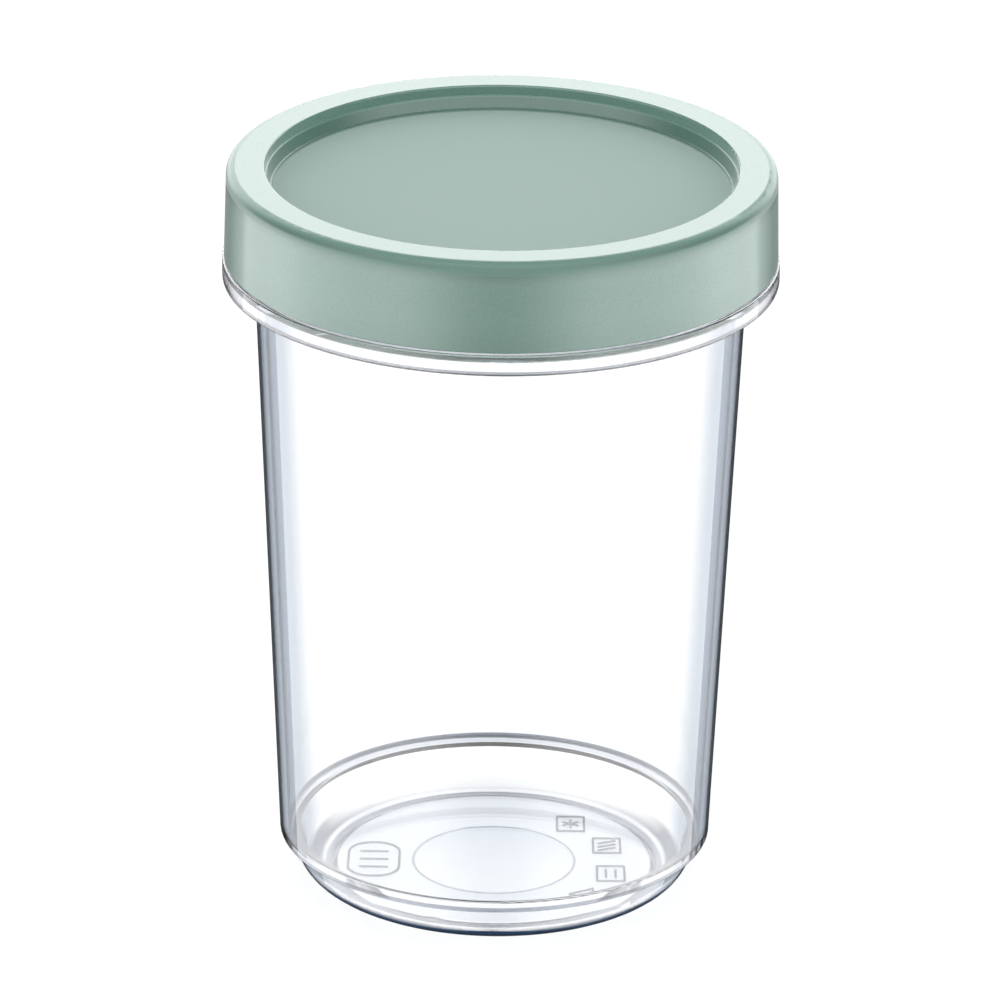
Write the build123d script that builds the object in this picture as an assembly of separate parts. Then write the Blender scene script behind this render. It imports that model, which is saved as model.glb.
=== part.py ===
from build123d import *
import math
import os

# A 500 ml round storage jar for soaking and keeping small tools: a clear moulded jar with a stepped foot
# and a collar, a screw lid with a recessed top that the foot of another jar stands in, and a flat seal
# in the lid's channel. Millimetres, +Z up, origin at the centre of the ring that the jar stands on.

# ---------------------------------------------------------------- overall
LID_TOP_Z = 125.3             # height of the closed jar
LID_HEIGHT = 15.3             # the lid's outside height
LID_EDGE_RADIUS = 45.55       # the lid's outside radius at its lower edge
LID_CROWN_RADIUS = 45.2       # the same at the top, before rounding

# ---------------------------------------------------------------- jar: foot and base
BASE_LIFT = 0.35              # the base panel stands this far above the ring it rests on
BASE_THICKNESS = 1.0
REST_RING_INNER = 27.3        # inner radius of the flat ring that touches the table
REST_RING_STEP = 0.9          # width of the sloping step from that ring up to the base panel
FOOT_RADIUS = 32.1            # the foot's outside, before its lower edge is rounded
FOOT_DRAFT = 1.95             # how much wider the foot is at its top
FOOT_ROUNDING = 5.6
FOOT_HEIGHT = 7.0
FOOT_INSIDE_ROUNDING = 4.2
DOME_RADIUS = 13.6            # the shallow dome in the middle of the base
DOME_RISE = 0.35

# ---------------------------------------------------------------- jar: wall
WALL_THICKNESS = 1.35
WALL_FOOT_RADIUS = 35.63      # the outside cone's radius at z = 0
WALL_DRAFT = 0.046            # growth of that radius per millimetre of height
SHOULDER_SLOPE = 0.4          # the shoulder's underside rises this much from the foot to the wall
SHOULDER_ROUNDING = 0.5
LEDGE_CORNER_ROUNDING = 0.5   # inside, where the wall meets the shoulder's ledge
LEDGE_EDGE_ROUNDING = 0.12    # inside, where the ledge drops into the foot

# ---------------------------------------------------------------- jar: collar and neck
COLLAR_RADIUS = 45.8
COLLAR_TOP_Z = 109.8
COLLAR_BOTTOM_Z = 106.2
COLLAR_WEB = 1.4              # thickness of the collar's flat web
COLLAR_SKIRT = 1.3            # thickness of the rim that turns down from it
EDGE_ROUNDING = 0.3           # the jar's plain outer edges
SMALL_EDGE_ROUNDING = 0.2
WEB_FILLET = 0.8              # under the collar, where its web meets the wall
NECK_ROOT_FILLET = 0.4
NECK_LIP_ROUNDING = 0.35
NECK_FLARE_ROUNDING = 1.5     # inside, where the wall widens into the neck
NECK_OUTER_RADIUS = 42.1
NECK_INNER_RADIUS = 40.7
NECK_TOP_Z = 122.2
NECK_STEP = 3.0               # height over which the inside widens from the wall to the neck

# ---------------------------------------------------------------- lid
RIM_THICKNESS = 1.6           # the lid's flat top ring
RIM_OUTER_ROUNDING = 1.5
RIM_LIP_ROUNDING = 0.3
RECESS_DEPTH = 4.2
RECESS_MOUTH_RADIUS = 38.9
RECESS_BAND = 1.7             # depth of the plain band above the crease in the recess wall
CREASE_WIDTH = 0.18           # the crease is a step this wide
LEDGE_HEIGHT = 0.6            # the fine ledge round the panel
LEDGE_WIDTH = 0.25
RECESS_DRAFT = 0.12           # how much each stretch of the recess wall leans in
FINE_ROUNDING = 0.08          # of the crease and the ledge
PANEL_RADIUS = 37.7           # the recessed panel, inside the ledge
PANEL_THICKNESS = 1.5
PANEL_CORNER_ROUNDING = 0.2
PLUG_RADIUS = 40.3            # outside of the recess wall, which sits inside the neck
PLUG_TAPER = 0.5
PLUG_EDGE_ROUNDING = 1.0
SKIRT_INNER_RADIUS = 44.1
LID_BOTTOM_Z = LID_TOP_Z - LID_HEIGHT
PANEL_TOP_Z = LID_TOP_Z - RECESS_DEPTH
CHANNEL_ROOF_Z = LID_TOP_Z - RIM_THICKNESS

# ---------------------------------------------------------------- screw thread
THREAD_STARTS = 3
THREAD_LEAD = 12.0            # rise in one full turn
THREAD_ROOT_OVERLAP = 0.2     # how deep each rib is sunk into its wall
JAR_RIB_CREST_RADIUS = 43.5
JAR_RIB_SPAN = 140.0          # degrees
JAR_RIB_START_Z = 113.3       # middle of each rib at its lower end
LID_RIB_CREST_RADIUS = 42.6
LID_RIB_SPAN = 100.0
RIB_ROOT_WIDTH = 1.8
RIB_CREST_WIDTH = 0.9
RIB_CLEARANCE = 0.2           # between the two ribs' flanks when the lid is closed
RIB_END_SLOPE = 3.0           # each rib runs out over this many times its own height
LID_RIB_LEAD_ANGLE = 20.0     # the lid's ribs start this far round from the jar's

# ---------------------------------------------------------------- seal
SEAL_INNER_RADIUS = 40.45
SEAL_OUTER_RADIUS = 43.95
SEAL_EDGE_ROUNDING = 0.3

# ---------------------------------------------------------------- raised marks under the base
MARK_LINE = 0.4               # width of each raised line
MARK_HEIGHT = 0.2
MARK_RING_RADIUS = 20.2       # the small frames stand on a circle of this radius
FRAME_WIDTH = 5.0
FRAME_HEIGHT = 6.4
FRAME_ANGLES = (49.8, 19.0, -13.8)
TRIANGLE_ANGLE = -41.0
TRIANGLE_SIZE = 2.6
LOOP_WIDTH = 9.0
LOOP_HEIGHT = 14.0
LOOP_BARS = 3


def turned(corners):
    """A solid of revolution about Z. Each corner is (radius, height, rounding)."""
    points = [(radius, height) for radius, height, rounding in corners]
    roundings = [rounding for radius, height, rounding in corners]
    outline = FilletPolyline(*points, radius=roundings, close=True)
    return revolve(Plane.XZ * make_face(outline), Axis.Z)


def wall_radius(height):
    """The outside radius of the jar's tapered wall."""
    return WALL_FOOT_RADIUS + WALL_DRAFT * height


def shallow_dome(height):
    """A low cap of a sphere, standing on the plane at this height."""
    sphere_radius = (DOME_RADIUS**2 + DOME_RISE**2) / (2 * DOME_RISE)
    half_angle = math.degrees(math.asin(DOME_RADIUS / sphere_radius))
    crown_z = height + DOME_RISE
    arc = CenterArc((0, crown_z - sphere_radius), sphere_radius, 90 - half_angle, half_angle)
    axis_line = Line((0, crown_z), (0, height))
    floor_line = Line((0, height), (DOME_RADIUS, height))
    return revolve(Plane.XZ * make_face([arc, axis_line, floor_line]), Axis.Z)


def thread_rib(root_radius, crest_radius, span, start_z, start_angle):
    """One helical rib of trapezoid section, with both ends run out at a slope."""
    outward = math.copysign(1, crest_radius - root_radius)
    sunk_radius = root_radius - outward * THREAD_ROOT_OVERLAP
    rise = THREAD_LEAD * span / 360
    path = Helix(THREAD_LEAD, rise, sunk_radius, center=(0, 0, start_z))
    section = make_face(
        Polyline(
            (sunk_radius, start_z - RIB_ROOT_WIDTH / 2),
            (crest_radius, start_z - RIB_CREST_WIDTH / 2),
            (crest_radius, start_z + RIB_CREST_WIDTH / 2),
            (sunk_radius, start_z + RIB_ROOT_WIDTH / 2),
            close=True,
        )
    )
    rib = sweep(Plane.XZ * section, path=path, is_frenet=True)
    for end_angle, way in ((0, 1), (span, -1)):
        rib -= run_out(root_radius, crest_radius, start_z, end_angle, way)
    return Rot(0, 0, start_angle) * rib


def run_out(root_radius, crest_radius, start_z, end_angle, way):
    """The wedge that slopes a rib's end from its crest down to its wall."""
    height = crest_radius - root_radius
    length = abs(height) * RIB_END_SLOPE * way
    block_height = 2 * THREAD_LEAD
    wedge = make_face(
        Polyline(
            (root_radius, 0),
            (crest_radius + height, 2 * length),
            (crest_radius + height, -length),
            (root_radius, -length),
            close=True,
        )
    )
    return Rot(0, 0, end_angle) * Pos(0, 0, start_z - THREAD_LEAD) * extrude(wedge, block_height)


def thread_ribs(root_radius, crest_radius, span, start_z, start_angle):
    """All the starts of one thread."""
    step = 360 / THREAD_STARTS
    return [
        thread_rib(root_radius, crest_radius, span, start_z, start_angle + start * step)
        for start in range(THREAD_STARTS)
    ]


def bar(start, end):
    """One raised straight line of a mark, drawn flat."""
    path = Line(start, end)
    return SlotCenterToCenter(path.length, MARK_LINE).rotate(
        Axis.Z, math.degrees(math.atan2(end[1] - start[1], end[0] - start[0]))
    ).translate(path @ 0.5)


def framed_marks():
    """Three plain frames: one with a star of bars, one with slanted bars, one with two upright bars."""
    frames = []
    for angle in FRAME_ANGLES:
        outer = RectangleRounded(FRAME_WIDTH, FRAME_HEIGHT, MARK_LINE)
        inner = Rectangle(FRAME_WIDTH - 2 * MARK_LINE, FRAME_HEIGHT - 2 * MARK_LINE)
        frames.append(outer - inner)
    reach = FRAME_WIDTH * 0.28
    for turn in range(3):
        swing = math.radians(60 * turn + 30)
        tip = (reach * math.cos(swing), reach * math.sin(swing))
        frames[0] += bar((-tip[0], -tip[1]), tip)
    for shift in (-1.4, 0, 1.4):
        frames[1] += bar((-reach, shift - 0.6), (reach, shift + 0.6))
    for side in (-0.8, 0.8):
        frames[2] += bar((side, -reach), (side, reach))
    return [
        Pos(*on_mark_ring(angle)) * frame
        for angle, frame in zip(FRAME_ANGLES, frames)
    ]


def on_mark_ring(angle):
    """A point on the circle of marks."""
    return (
        MARK_RING_RADIUS * math.cos(math.radians(angle)),
        MARK_RING_RADIUS * math.sin(math.radians(angle)),
    )


def triangle_mark():
    """A plain triangle outline."""
    tips = [
        (TRIANGLE_SIZE * math.cos(math.radians(turn)), TRIANGLE_SIZE * math.sin(math.radians(turn)))
        for turn in (60, 180, 300)
    ]
    outline = bar(tips[0], tips[1]) + bar(tips[1], tips[2]) + bar(tips[2], tips[0])
    return Pos(*on_mark_ring(TRIANGLE_ANGLE)) * outline


def loop_mark():
    """An upright rounded loop with a few level bars in it, on the other side of the base."""
    outer = RectangleRounded(LOOP_WIDTH, LOOP_HEIGHT, LOOP_WIDTH * 0.45)
    inner_width = LOOP_WIDTH - 2 * MARK_LINE
    inner = RectangleRounded(inner_width, LOOP_HEIGHT - 2 * MARK_LINE, inner_width * 0.45)
    loop = outer - inner
    half_bar = LOOP_WIDTH * 0.25
    for row in range(LOOP_BARS):
        level = (row - (LOOP_BARS - 1) / 2) * LOOP_HEIGHT / (LOOP_BARS + 1.5)
        loop += bar((-half_bar, level), (half_bar, level))
    return Pos(-MARK_RING_RADIUS, 0) * loop


def base_marks():
    """The raised marks under the base panel."""
    flat_marks = framed_marks() + [triangle_mark(), loop_mark()]
    depth = MARK_HEIGHT + BASE_THICKNESS / 4
    return [Pos(0, 0, BASE_LIFT - MARK_HEIGHT) * extrude(mark, depth) for mark in flat_marks]


def make_jar():
    """The clear jar: foot, tapered wall, collar with a turned-down rim, and threaded neck."""
    floor_z = BASE_LIFT + BASE_THICKNESS
    foot_top_radius = FOOT_RADIUS + FOOT_DRAFT
    shoulder_z = FOOT_HEIGHT + SHOULDER_SLOPE
    shoulder_inside_z = shoulder_z + WALL_THICKNESS
    web_z = COLLAR_TOP_Z - COLLAR_WEB
    step_bottom_z = COLLAR_TOP_Z - NECK_STEP
    corners = [
        (0, BASE_LIFT, 0),
        (REST_RING_INNER - REST_RING_STEP, BASE_LIFT, SMALL_EDGE_ROUNDING),
        (REST_RING_INNER, 0, 0),
        (FOOT_RADIUS, 0, FOOT_ROUNDING),
        (foot_top_radius, FOOT_HEIGHT, EDGE_ROUNDING),
        (wall_radius(shoulder_z), shoulder_z, SHOULDER_ROUNDING),
        (wall_radius(web_z), web_z, WEB_FILLET),
        (COLLAR_RADIUS - COLLAR_SKIRT, web_z, EDGE_ROUNDING),
        (COLLAR_RADIUS - COLLAR_SKIRT, COLLAR_BOTTOM_Z, SMALL_EDGE_ROUNDING),
        (COLLAR_RADIUS, COLLAR_BOTTOM_Z, EDGE_ROUNDING),
        (COLLAR_RADIUS, COLLAR_TOP_Z, EDGE_ROUNDING),
        (NECK_OUTER_RADIUS, COLLAR_TOP_Z, NECK_ROOT_FILLET),
        (NECK_OUTER_RADIUS, NECK_TOP_Z, NECK_LIP_ROUNDING),
        (NECK_INNER_RADIUS, NECK_TOP_Z, NECK_LIP_ROUNDING),
        (NECK_INNER_RADIUS, COLLAR_TOP_Z, NECK_FLARE_ROUNDING),
        (wall_radius(step_bottom_z) - WALL_THICKNESS, step_bottom_z, NECK_FLARE_ROUNDING),
        (wall_radius(shoulder_inside_z) - WALL_THICKNESS, shoulder_inside_z, LEDGE_CORNER_ROUNDING),
        (foot_top_radius - WALL_THICKNESS, FOOT_HEIGHT + WALL_THICKNESS, LEDGE_EDGE_ROUNDING),
        (FOOT_RADIUS - WALL_THICKNESS, floor_z, FOOT_INSIDE_ROUNDING),
        (0, floor_z, 0),
    ]
    jar = turned(corners) + shallow_dome(floor_z) - shallow_dome(BASE_LIFT)
    ribs = thread_ribs(NECK_OUTER_RADIUS, JAR_RIB_CREST_RADIUS, JAR_RIB_SPAN, JAR_RIB_START_Z, 0)
    for piece in ribs + base_marks():
        jar += piece
    return jar


def make_lid():
    """The one-piece lid: flat top ring, recessed panel that plugs the neck, and threaded skirt."""
    panel_bottom_z = PANEL_TOP_Z - PANEL_THICKNESS
    crease_z = LID_TOP_Z - RECESS_BAND
    ledge_z = PANEL_TOP_Z + LEDGE_HEIGHT
    crease_radius = RECESS_MOUTH_RADIUS - RECESS_DRAFT
    corners = [
        (0, PANEL_TOP_Z, 0),
        (PANEL_RADIUS, PANEL_TOP_Z, PANEL_CORNER_ROUNDING),
        (PANEL_RADIUS, ledge_z, FINE_ROUNDING),
        (PANEL_RADIUS + LEDGE_WIDTH, ledge_z, FINE_ROUNDING),
        (crease_radius - CREASE_WIDTH, crease_z, FINE_ROUNDING),
        (crease_radius, crease_z, FINE_ROUNDING),
        (RECESS_MOUTH_RADIUS, LID_TOP_Z, RIM_LIP_ROUNDING),
        (LID_CROWN_RADIUS, LID_TOP_Z, RIM_OUTER_ROUNDING),
        (LID_EDGE_RADIUS, LID_BOTTOM_Z, 0.3),
        (SKIRT_INNER_RADIUS, LID_BOTTOM_Z, 0.3),
        (SKIRT_INNER_RADIUS, CHANNEL_ROOF_Z, 0),
        (PLUG_RADIUS, CHANNEL_ROOF_Z, 0),
        (PLUG_RADIUS - PLUG_TAPER, panel_bottom_z, PLUG_EDGE_ROUNDING),
        (0, panel_bottom_z, 0),
    ]
    lid = turned(corners)
    drop = RIB_ROOT_WIDTH + RIB_CLEARANCE
    lead = THREAD_LEAD * LID_RIB_LEAD_ANGLE / 360
    start_z = JAR_RIB_START_Z - drop + lead
    ribs = thread_ribs(
        SKIRT_INNER_RADIUS, LID_RIB_CREST_RADIUS, LID_RIB_SPAN, start_z, LID_RIB_LEAD_ANGLE
    )
    for rib in ribs:
        lid += rib
    return lid


def make_seal_ring():
    """The flat seal between the neck's rim and the roof of the lid's channel."""
    return turned(
        [
            (SEAL_INNER_RADIUS, NECK_TOP_Z, SEAL_EDGE_ROUNDING),
            (SEAL_OUTER_RADIUS, NECK_TOP_Z, SEAL_EDGE_ROUNDING),
            (SEAL_OUTER_RADIUS, CHANNEL_ROOF_Z, SEAL_EDGE_ROUNDING),
            (SEAL_INNER_RADIUS, CHANNEL_ROOF_Z, SEAL_EDGE_ROUNDING),
        ]
    )


def main():
    """Write one STEP file per piece."""
    os.makedirs("parts", exist_ok=True)
    pieces = {
        "jar": make_jar(),
        "lid": make_lid(),
        "seal_ring": make_seal_ring(),
    }
    for name, piece in pieces.items():
        export_step(piece, f"parts/{name}.step")


main()
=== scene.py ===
import bpy
import math
from mathutils import Matrix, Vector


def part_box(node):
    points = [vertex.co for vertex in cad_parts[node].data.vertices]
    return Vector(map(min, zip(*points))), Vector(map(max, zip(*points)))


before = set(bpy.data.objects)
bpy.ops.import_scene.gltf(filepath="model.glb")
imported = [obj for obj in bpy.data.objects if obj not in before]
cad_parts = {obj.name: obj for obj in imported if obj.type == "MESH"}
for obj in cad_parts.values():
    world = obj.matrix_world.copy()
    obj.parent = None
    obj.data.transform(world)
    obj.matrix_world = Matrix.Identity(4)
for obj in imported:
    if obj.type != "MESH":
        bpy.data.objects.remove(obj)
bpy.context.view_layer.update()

# Metres, in the CAD frame. A pair of places, facing values or turns gives where a look starts and
# where it is there in full.

# ---------------------------------------------------------------- places on the lid
LID_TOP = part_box("lid")[1].z
LID_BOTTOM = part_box("lid")[0].z
LID_CROWN = 0.0452                      # radius of the side at its top, before the rounding
RIM_ROUNDING = 0.0015                   # between the ring and the side
RIM_INNER = LID_CROWN - RIM_ROUNDING
RECESS_MOUTH = 0.0389                   # radius of the opening in the lid's ring
RECESS_DEPTH = 0.0042
RECESS_CREASE = LID_TOP - 0.0018        # just below the fine step round the recess wall
PANEL_TOP = LID_TOP - RECESS_DEPTH
PANEL_RADIUS = 0.0377

PANEL_RADII = (PANEL_RADIUS + 0.0001, PANEL_RADIUS - 0.0001)
PANEL_HEIGHTS = (PANEL_TOP + 0.0005, PANEL_TOP + 0.0002)
RECESS_WALL_RADII = (RECESS_MOUTH + 0.0002, RECESS_MOUTH)
RECESS_WALL_HEIGHTS = (RECESS_CREASE, RECESS_CREASE - 0.0002)
RIM_RADII = (RIM_INNER - 0.0003, RIM_INNER + 0.0004)
RIM_HEIGHTS = (LID_TOP - 0.0026, LID_TOP - 0.0016)
DARK_LINE_RADII = (RIM_INNER + 0.0003, LID_CROWN - 0.0004)
DARK_LINE_FROM_BELOW = (LID_TOP - 0.0040, LID_TOP - 0.0014)
DARK_LINE_FROM_ABOVE = (LID_TOP - 0.0002, LID_TOP - 0.0010)
LOWER_SIDE_HEIGHTS = (LID_BOTTOM + 0.0060, LID_BOTTOM)

# ---------------------------------------------------------------- places on the jar
COLLAR_INNER = 0.0430                   # the collar stands out beyond this radius
WALL_RADII = (COLLAR_INNER, COLLAR_INNER - 0.0005)
MARK_LOW = 0.0001                       # the raised marks' lower faces lie between these heights
MARK_HIGH = 0.0003
MARK_REACH = 0.0258                     # and inside this radius
MARK_FADE = 0.00002
FOOT_EDGE_INNER = 0.0284                # the painted dark navy shade on the foot's rounded lower edge starts here
FOOT_EDGE_HEIGHT = 0.0038
FOOT_EDGE_RADII = (FOOT_EDGE_INNER, FOOT_EDGE_INNER + 0.0008)
FOOT_EDGE_HEIGHTS = (FOOT_EDGE_HEIGHT, FOOT_EDGE_HEIGHT * 0.7)
# Moulded edges of the jar, each with a painted dark line of shade where the edge looks dark through the
# clear plastic: (radius, half width, lowest, highest).
DOME_EDGE = (0.01355, 0.0003, -0.0005, 0.0006)
REST_RING = (0.02750, 0.0013, -0.0005, 0.0006)
REST_RING_STEP = (0.02680, 0.0006, -0.0005, 0.0006)
INSIDE_CORNER = (0.03440, 0.0006, 0.0085, 0.0094)
LEDGE = (0.03360, 0.0010, 0.0081, 0.0090)
SHOULDER_EDGE = (0.03580, 0.0005, 0.0068, 0.0084)
COLLAR_EDGE = (0.04550, 0.0006, 0.1059, 0.1067)
COLLAR_LIP = (0.04460, 0.0004, 0.1060, 0.1068)
EDGE_FADE = 0.0002

# ---------------------------------------------------------------- clear plastic
# A facing value is 0 where a surface is seen face on, and 1 where it is seen along itself.
TURNS_AWAY = (0.08, 0.32)
NEARLY_ALONG = (0.42, 0.70)
OUTLINE = (0.80, 0.86)
FOOT_TURNS_AWAY = (0.25, 0.50)
FACE_ON_TINT = (0.985, 0.990, 0.993, 1)
# Painted shade by facing: greyer as a surface turns away, darker and bluer nearly along it, near black at
# its outline.
ANGLED_PAINTED_SHADE = (0.885, 0.888, 0.900, 1)
COLLAR_EDGE_PAINTED_SHADE = (0.62, 0.63, 0.69, 1)
WALL_EDGE_PAINTED_SHADE = (0.27, 0.33, 0.42, 1)
OUTLINE_PAINTED_SHADE = (0.004, 0.008, 0.014, 1)
# Painted dark navy shade on the foot's rounded lower edge.
FOOT_EDGE_PAINTED_SHADE = (0.0004, 0.003, 0.014, 1)
MARK_TINT = (0.02, 0.022, 0.027, 1)
# Painted dark lines of shade on the moulded edges.
PAINTED_EDGE_SHADES = (
    (DOME_EDGE, (0.16, 0.18, 0.22, 1)),
    (REST_RING, (0.13, 0.15, 0.19, 1)),
    (REST_RING_STEP, (0.015, 0.02, 0.035, 1)),
    (LEDGE, (0.45, 0.48, 0.56, 1)),
    (INSIDE_CORNER, (0.02, 0.03, 0.05, 1)),
    (SHOULDER_EDGE, (0.12, 0.14, 0.18, 1)),
    (COLLAR_EDGE, (0.01, 0.012, 0.015, 1)),
    (COLLAR_LIP, (0.15, 0.16, 0.19, 1)),
)
POLISHED = 0.015                        # roughness as moulded, and on the raised marks
FROSTED = 0.35
PLASTIC_IOR = 1.5
BODY_TINT = (0.74, 0.77, 0.81, 1)       # of what passes through the plastic's thickness
BODY_DENSITY = 34.0

# ---------------------------------------------------------------- lid plastic
LID_TONE = (0.125, 0.245, 0.200, 1)
LID_DRIFT_TONE = (0.140, 0.265, 0.218, 1)
GRAIN_TONE = (0.165, 0.295, 0.245, 1)
# Painted shade: the side darker towards its lower edge.
LOWER_SIDE_PAINTED_SHADE = (0.07, 0.16, 0.13, 1)
LOWER_SIDE_SHARE = 0.3                  # how much of its tone shows, and so on below
# Painted shade: a dark line just under the ring's rounding.
UNDER_RING_PAINTED_SHADE = (0.045, 0.105, 0.085, 1)
UNDER_RING_SHADE_SHARE = 0.55
# Painted shade: the recess wall darker below its fine step.
RECESS_WALL_PAINTED_SHADE = (0.06, 0.125, 0.10, 1)
RECESS_WALL_SHADE_SHARE = 0.5
PANEL_TONE = (0.318, 0.430, 0.394, 1)
RING_ROUGHNESS = 0.14
RIM_ROUGHNESS = 0.38
PANEL_ROUGHNESS = 0.85
GRAIN_ROUGHNESS = 0.06                  # added by the grain
GRAIN_SCALE = 4200.0
GRAIN_CONTRAST = (0.35, 0.65)
GRAIN_BUMP = 0.06
DRIFT_SCALE = 60.0
SHEEN = 0.4
SHEEN_ROUGHNESS = 0.35

# ---------------------------------------------------------------- seal rubber and floor
SEAL_TONE = (0.66, 0.69, 0.67, 1)
SEAL_PALE_TONE = (0.74, 0.76, 0.74, 1)
SEAL_ROUGHNESS = 0.6
SEAL_MOTTLE_SCALE = 900.0
SEAL_BUMP = 0.1
BUMP_HEIGHT = 0.00005
FLOOR_TONE = (0.40, 0.40, 0.40, 1)
FLOOR_ROUGHNESS = 0.9
FLOOR_GLOW = 0.66
FLOOR_HALF_WIDTH = 6.0
FLOOR_DROP = 0.0001

# ---------------------------------------------------------------- camera
CAMERA_BACK = 1.5086                    # in front of the jar's axis
CAMERA_ABOVE_LID = 0.5572
CAMERA_RIGHT = 0.0003
CAMERA_PITCH = 22.22                    # degrees down
CAMERA_ROLL = 0.70
CAMERA_LENS = 353.6                     # millimetres, on the sensor below
CAMERA_SENSOR = 36

# ---------------------------------------------------------------- studio
# What glossy surfaces mirror, by direction. Turns are degrees from straight behind, heights are sines.
BACK_PANEL = 3.7                        # the bright panel behind and above
BACK_PANEL_TURNS = (58.0, 42.0)
BACK_PANEL_TOP = (0.72, 0.48)
HORIZON = (-0.15, -0.09)                # where the low lights give way to the high ones
OVERHEAD = 0.20
HIGH_FRONT = 3.0
HIGH_FRONT_REACH = (0.1, -0.6)          # as the direction turns towards the front
LOW_FRONT = 2.3                         # below the horizon, straight in front
LOW_FRONT_SIDE = 5.6                    # to either side of that
LOW_FRONT_SIDE_TURNS = (178.0, 135.0)
LOW_SIDE = 3.0                          # and where the dark gap behind begins
LOW_SIDE_TURNS = (85.0, 48.0)
LOW_BEHIND = 0.07                       # the dark gap, straight behind
LOW_BEHIND_EDGE = 1.5                   # and towards its ends
LOW_BEHIND_EDGE_TURNS = (24.0, 50.0)
GAP_END_TURNS = (45.7, 46.3)
MIRRORED_THROUGH_PLASTIC = 1.5          # what is mirrored by surfaces seen through the jar's wall
# What matte surfaces receive: a plain soft gradient.
SOFT = 0.78
SOFT_FROM_ABOVE = 0.30
SOFT_FROM_BEHIND = 0.15
SOFT_FROM_SIDES = 0.60
SOFT_SIDE_POWER = 4.0
SEEN_BY_CAMERA = 1.0


# ---------------------------------------------------------------- node helpers
class Nodes:
    """Short calls for building one node tree."""

    def __init__(self, tree):
        self.tree = tree
        self.tree.nodes.clear()

    def add(self, kind, **settings):
        """A node; settings name its properties, or its inputs by number or name under 'inputs'."""
        node = self.tree.nodes.new(kind)
        for socket, value in settings.pop("inputs", {}).items():
            self.put(node.inputs[socket], value)
        for name, value in settings.items():
            setattr(node, name, value)
        return node

    def put(self, socket, value):
        """Links an output into a socket, or sets the socket's own value."""
        if isinstance(value, bpy.types.NodeSocket):
            self.tree.links.new(value, socket)
        else:
            socket.default_value = value

    def math(self, operation, first, second=0.0, third=0.0):
        """One step of arithmetic."""
        node = self.add("ShaderNodeMath", operation=operation)
        for socket, value in zip(node.inputs, (first, second, third)):
            self.put(socket, value)
        return node.outputs[0]

    def ramp(self, value, start, end, at_start=0.0, at_end=1.0):
        """Smooth change from at_start to at_end as value goes from start to end, either way."""
        node = self.add("ShaderNodeMapRange", interpolation_type="SMOOTHSTEP", clamp=True)
        for socket, number in zip(node.inputs, (value, start, end, at_start, at_end)):
            self.put(socket, number)
        return node.outputs[0]

    def product(self, first, *others):
        """All of the values multiplied together."""
        for other in others:
            first = self.math("MULTIPLY", first, other)
        return first

    def blend(self, factor, first, second):
        """The first number where factor is 0, the second where it is 1."""
        node = self.add("ShaderNodeMix", data_type="FLOAT")
        for socket, value in zip(node.inputs[0:1] + node.inputs[2:4], (factor, first, second)):
            self.put(socket, value)
        return node.outputs[0]

    def mix(self, factor, first, second):
        """The first colour where factor is 0, the second where it is 1."""
        node = self.add("ShaderNodeMix", data_type="RGBA")
        self.put(node.inputs[0], factor)
        self.put(node.inputs[6], first)
        self.put(node.inputs[7], second)
        return node.outputs[2]

    def noise(self, vector, scale, detail, roughness=0.5):
        """A noise value from 0 to 1."""
        node = self.add("ShaderNodeTexNoise")
        self.put(node.inputs["Vector"], vector)
        self.put(node.inputs["Scale"], scale)
        self.put(node.inputs["Detail"], detail)
        self.put(node.inputs["Roughness"], roughness)
        return node.outputs["Fac"]

    def bump(self, height, strength):
        """A normal disturbed by a fine height."""
        settings = {"Strength": strength, "Distance": BUMP_HEIGHT, "Height": height}
        return self.add("ShaderNodeBump", inputs=settings).outputs[0]

    def surface(self, **inputs):
        """A Principled surface. An input's name has underscores for its spaces."""
        named = {name.replace("_", " "): value for name, value in inputs.items()}
        return self.add("ShaderNodeBsdfPrincipled", inputs=named).outputs[0]

    def finish(self, surface, **others):
        """The material's output."""
        self.add("ShaderNodeOutputMaterial", inputs={"Surface": surface, **others})


def new_material(name):
    """An empty node material with its builder."""
    material = bpy.data.materials.new(name)
    material.use_nodes = True
    return material, Nodes(material.node_tree)


def surface_point(nodes):
    """The surface point in the piece's own coordinates, which are the CAD frame at rest."""
    return nodes.add("ShaderNodeTexCoord").outputs["Object"]


def height_and_radius(nodes, point):
    """A point's height, and its distance from the axis."""
    across, along, height = nodes.add("ShaderNodeSeparateXYZ", inputs={0: point}).outputs
    squares = [nodes.math("POWER", side, 2.0) for side in (across, along)]
    return height, nodes.math("SQRT", nodes.math("ADD", *squares))


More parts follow.
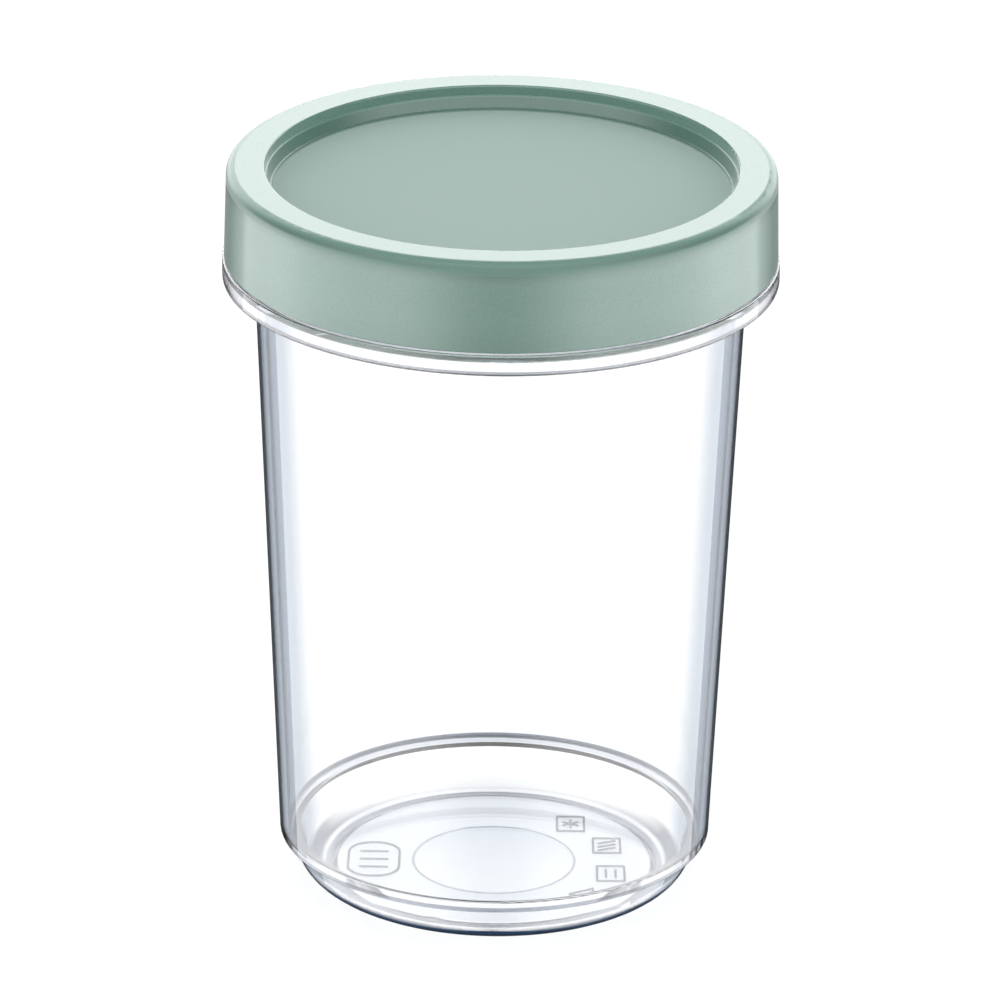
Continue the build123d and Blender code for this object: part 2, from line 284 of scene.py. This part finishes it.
# ---------------------------------------------------------------- materials
def clear_plastic():
    """Polished clear plastic with frosted marks, and painted blue-grey shade where it is seen along itself,
    on its moulded edges and on the foot's lower edge.
    """
    material, nodes = new_material("clear_plastic_look")
    height, radius = height_and_radius(nodes, surface_point(nodes))
    facing = nodes.add("ShaderNodeLayerWeight", inputs={"Blend": 0.5}).outputs["Facing"]
    wall = nodes.ramp(radius, *WALL_RADII)
    # painted shade by facing, darkest along the outline
    tint_and_painted_shade = nodes.mix(nodes.ramp(facing, *TURNS_AWAY), FACE_ON_TINT, ANGLED_PAINTED_SHADE)
    along_painted_shade = nodes.mix(wall, COLLAR_EDGE_PAINTED_SHADE, WALL_EDGE_PAINTED_SHADE)
    tint_and_painted_shade = nodes.mix(nodes.ramp(facing, *NEARLY_ALONG), tint_and_painted_shade, along_painted_shade)
    outline_shade = nodes.product(wall, nodes.ramp(facing, *OUTLINE))
    tint_and_painted_shade = nodes.mix(outline_shade, tint_and_painted_shade, OUTLINE_PAINTED_SHADE)
    # painted dark lines of shade on the moulded edges
    for place, edge_shade in PAINTED_EDGE_SHADES:
        tint_and_painted_shade = nodes.mix(painted_edge_line(nodes, height, radius, place), tint_and_painted_shade, edge_shade)
    # painted dark navy shade on the foot's rounded lower edge
    foot_edge_shade = nodes.product(
        nodes.ramp(height, *FOOT_EDGE_HEIGHTS),
        nodes.ramp(radius, *FOOT_EDGE_RADII),
        nodes.ramp(facing, *FOOT_TURNS_AWAY),
    )
    tint_and_painted_shade = nodes.mix(foot_edge_shade, tint_and_painted_shade, FOOT_EDGE_PAINTED_SHADE)
    mark = nodes.product(
        nodes.ramp(height, MARK_LOW, MARK_LOW + MARK_FADE),
        nodes.ramp(height, MARK_HIGH + MARK_FADE, MARK_HIGH),
        nodes.ramp(radius, MARK_REACH + EDGE_FADE, MARK_REACH),
    )
    tint_and_painted_shade = nodes.mix(mark, tint_and_painted_shade, MARK_TINT)
    surface = nodes.surface(
        Base_Color=tint_and_painted_shade,
        Roughness=nodes.ramp(mark, 0.0, 1.0, POLISHED, FROSTED),
        IOR=PLASTIC_IOR,
        Transmission_Weight=1.0,
    )
    body = nodes.add("ShaderNodeVolumeAbsorption", inputs={"Color": BODY_TINT, "Density": BODY_DENSITY})
    nodes.finish(surface, Volume=body.outputs[0])
    return material


def painted_edge_line(nodes, height, radius, place):
    """1 on one ring of the jar's surface, where a painted line of edge shade goes, and 0 elsewhere."""
    middle, half_width, low, high = place
    off_middle = nodes.math("ABSOLUTE", nodes.math("SUBTRACT", radius, middle))
    return nodes.product(
        nodes.ramp(off_middle, half_width, half_width * 0.6),
        nodes.ramp(height, low, low + EDGE_FADE),
        nodes.ramp(height, high, high - EDGE_FADE),
    )


def lid_plastic():
    """Sage-green moulded plastic: a satin ring and side with a fine grain, and a matte recessed panel, with
    painted shade on the lower side, under the ring's rounding and low on the recess wall.
    """
    material, nodes = new_material("lid_plastic_look")
    point = surface_point(nodes)
    height, radius = height_and_radius(nodes, point)
    grain = nodes.noise(point, GRAIN_SCALE, 3.0, 0.6)
    drift = nodes.noise(point, DRIFT_SCALE, 2.0)
    tone = nodes.mix(drift, LID_TONE, LID_DRIFT_TONE)
    tone = nodes.mix(nodes.ramp(grain, *GRAIN_CONTRAST), tone, GRAIN_TONE)
    # painted shade, darker towards the side's lower edge
    lower_side_shade = nodes.ramp(height, *LOWER_SIDE_HEIGHTS, 0.0, LOWER_SIDE_SHARE)
    tone = nodes.mix(lower_side_shade, tone, LOWER_SIDE_PAINTED_SHADE)
    # painted shade, a dark line just under the ring's rounding
    under_ring_shade = nodes.product(
        nodes.ramp(radius, *DARK_LINE_RADII),
        nodes.ramp(height, *DARK_LINE_FROM_BELOW),
        nodes.ramp(height, *DARK_LINE_FROM_ABOVE, 0.0, UNDER_RING_SHADE_SHARE),
    )
    tone = nodes.mix(under_ring_shade, tone, UNDER_RING_PAINTED_SHADE)
    # painted shade, the recess wall darker below its fine step
    recess_wall_shade = nodes.product(
        nodes.ramp(radius, *RECESS_WALL_RADII),
        nodes.ramp(height, *RECESS_WALL_HEIGHTS, 0.0, RECESS_WALL_SHADE_SHARE),
    )
    tone = nodes.mix(recess_wall_shade, tone, RECESS_WALL_PAINTED_SHADE)
    panel = nodes.product(nodes.ramp(radius, *PANEL_RADII), nodes.ramp(height, *PANEL_HEIGHTS))
    rim = nodes.product(nodes.ramp(radius, *RIM_RADII), nodes.ramp(height, *RIM_HEIGHTS))
    satin = nodes.ramp(rim, 0.0, 1.0, RING_ROUGHNESS, RIM_ROUGHNESS)
    smoothest = nodes.blend(panel, satin, PANEL_ROUGHNESS)
    surface = nodes.surface(
        Base_Color=nodes.mix(panel, tone, PANEL_TONE),
        Roughness=nodes.math("MULTIPLY_ADD", grain, GRAIN_ROUGHNESS, smoothest),
        IOR=PLASTIC_IOR,
        Normal=nodes.bump(grain, GRAIN_BUMP),
        Sheen_Weight=SHEEN,
        Sheen_Roughness=SHEEN_ROUGHNESS,
    )
    nodes.finish(surface)
    return material


def seal_rubber():
    """Pale matte silicone."""
    material, nodes = new_material("seal_rubber_look")
    mottle = nodes.noise(surface_point(nodes), SEAL_MOTTLE_SCALE, 3.0)
    surface = nodes.surface(
        Base_Color=nodes.mix(mottle, SEAL_TONE, SEAL_PALE_TONE),
        Roughness=SEAL_ROUGHNESS,
        Normal=nodes.bump(mottle, SEAL_BUMP),
    )
    nodes.finish(surface)
    return material


def floor_paint():
    """The plain pale floor."""
    material, nodes = new_material("floor_paint")
    surface = nodes.surface(
        Base_Color=FLOOR_TONE,
        Roughness=FLOOR_ROUGHNESS,
        Specular_IOR_Level=0.0,
        Emission_Color=(1, 1, 1, 1),
        Emission_Strength=FLOOR_GLOW,
    )
    nodes.finish(surface)
    return material


def dress(node_name, material):
    """Puts a material into every slot of a CAD node."""
    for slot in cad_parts[node_name].material_slots:
        slot.material = material


# ---------------------------------------------------------------- stage
def add_camera():
    """A long lens at the viewing angle of a product shot."""
    data = bpy.data.cameras.new("camera")
    data.sensor_width = CAMERA_SENSOR
    data.lens = CAMERA_LENS
    data.clip_start = 0.05
    data.clip_end = 50
    camera = bpy.data.objects.new("camera", data)
    bpy.context.scene.collection.objects.link(camera)
    place = Matrix.Translation((CAMERA_RIGHT, -CAMERA_BACK, LID_TOP + CAMERA_ABOVE_LID))
    tilt = Matrix.Rotation(math.radians(90 - CAMERA_PITCH), 4, "X")
    roll = Matrix.Rotation(math.radians(CAMERA_ROLL), 4, "Z")
    camera.matrix_world = place @ tilt @ roll
    bpy.context.scene.camera = camera


def add_floor():
    """A wide floor that the object's shiny and matte surfaces don't pick up."""
    half = FLOOR_HALF_WIDTH
    corners = [(-half, -half, 0), (half, -half, 0), (half, half, 0), (-half, half, 0)]
    mesh = bpy.data.meshes.new("floor")
    mesh.from_pydata(corners, [], [(0, 1, 2, 3)])
    mesh.materials.append(floor_paint())
    floor = bpy.data.objects.new("floor", mesh)
    floor.location.z = -FLOOR_DROP
    floor.visible_glossy = False
    floor.visible_diffuse = False
    bpy.context.scene.collection.objects.link(floor)


def add_world():
    """Soft studio light: panels and a dark gap for glossy surfaces to mirror, plain white to the camera."""
    world = bpy.data.worlds.new("studio")
    world.use_nodes = True
    world.cycles.sampling_method = "NONE"
    bpy.context.scene.world = world
    nodes = Nodes(world.node_tree)
    direction = nodes.add("ShaderNodeTexCoord").outputs["Generated"]
    across, along, up = nodes.add("ShaderNodeSeparateXYZ", inputs={0: direction}).outputs
    path = nodes.add("ShaderNodeLightPath")
    mirrored = mirrored_light(nodes, across, along, up)
    through = nodes.math("GREATER_THAN", path.outputs["Transmission Depth"], 0.5)
    mirrored = nodes.blend(through, mirrored, MIRRORED_THROUGH_PLASTIC)
    strength = nodes.blend(path.outputs["Is Glossy Ray"], soft_light(nodes, across, along, up), mirrored)
    strength = nodes.blend(path.outputs["Is Camera Ray"], strength, SEEN_BY_CAMERA)
    studio = nodes.add("ShaderNodeBackground", inputs={"Color": (1, 1, 1, 1), "Strength": strength})
    nodes.add("ShaderNodeOutputWorld", inputs={"Surface": studio.outputs[0]})


def mirrored_light(nodes, across, along, up):
    """What glossy surfaces mirror in each direction."""
    turn = nodes.math("DEGREES", nodes.math("ABSOLUTE", nodes.math("ARCTAN2", across, along)))
    gap = nodes.ramp(turn, *LOW_BEHIND_EDGE_TURNS, LOW_BEHIND, LOW_BEHIND_EDGE)
    low_front = nodes.ramp(turn, *LOW_FRONT_SIDE_TURNS, LOW_FRONT, LOW_FRONT_SIDE)
    low_front = nodes.blend(nodes.ramp(turn, *LOW_SIDE_TURNS), low_front, LOW_SIDE)
    low = nodes.blend(nodes.ramp(turn, *GAP_END_TURNS), gap, low_front)
    high = nodes.ramp(along, *HIGH_FRONT_REACH, OVERHEAD, HIGH_FRONT)
    above_horizon = nodes.ramp(up, *HORIZON)
    back_panel = nodes.product(
        nodes.ramp(turn, *BACK_PANEL_TURNS),
        above_horizon,
        nodes.ramp(up, *BACK_PANEL_TOP),
    )
    return nodes.blend(back_panel, nodes.blend(above_horizon, low, high), BACK_PANEL)


def soft_light(nodes, across, along, up):
    """What matte surfaces receive from each direction."""
    sideways = nodes.math("POWER", nodes.math("ABSOLUTE", across), SOFT_SIDE_POWER)
    soft = nodes.math("MULTIPLY_ADD", up, SOFT_FROM_ABOVE, SOFT)
    soft = nodes.math("MULTIPLY_ADD", along, SOFT_FROM_BEHIND, soft)
    return nodes.math("MULTIPLY_ADD", sideways, SOFT_FROM_SIDES, soft)


def set_render_look():
    """Plain colours, denoising, and enough bounces for light to get through the jar."""
    scene = bpy.context.scene
    scene.view_settings.view_transform = "Standard"
    scene.view_settings.look = "None"
    scene.cycles.use_denoising = True
    scene.cycles.max_bounces = 32
    scene.cycles.transmission_bounces = 24
    scene.cycles.glossy_bounces = 12
    scene.cycles.transparent_max_bounces = 24
    scene.cycles.caustics_refractive = True
    scene.cycles.caustics_reflective = True
    scene.cycles.blur_glossy = 0.0


add_camera()
add_world()
add_floor()
set_render_look()
dress("jar", clear_plastic())
dress("lid", lid_plastic())
dress("seal_ring", seal_rubber())
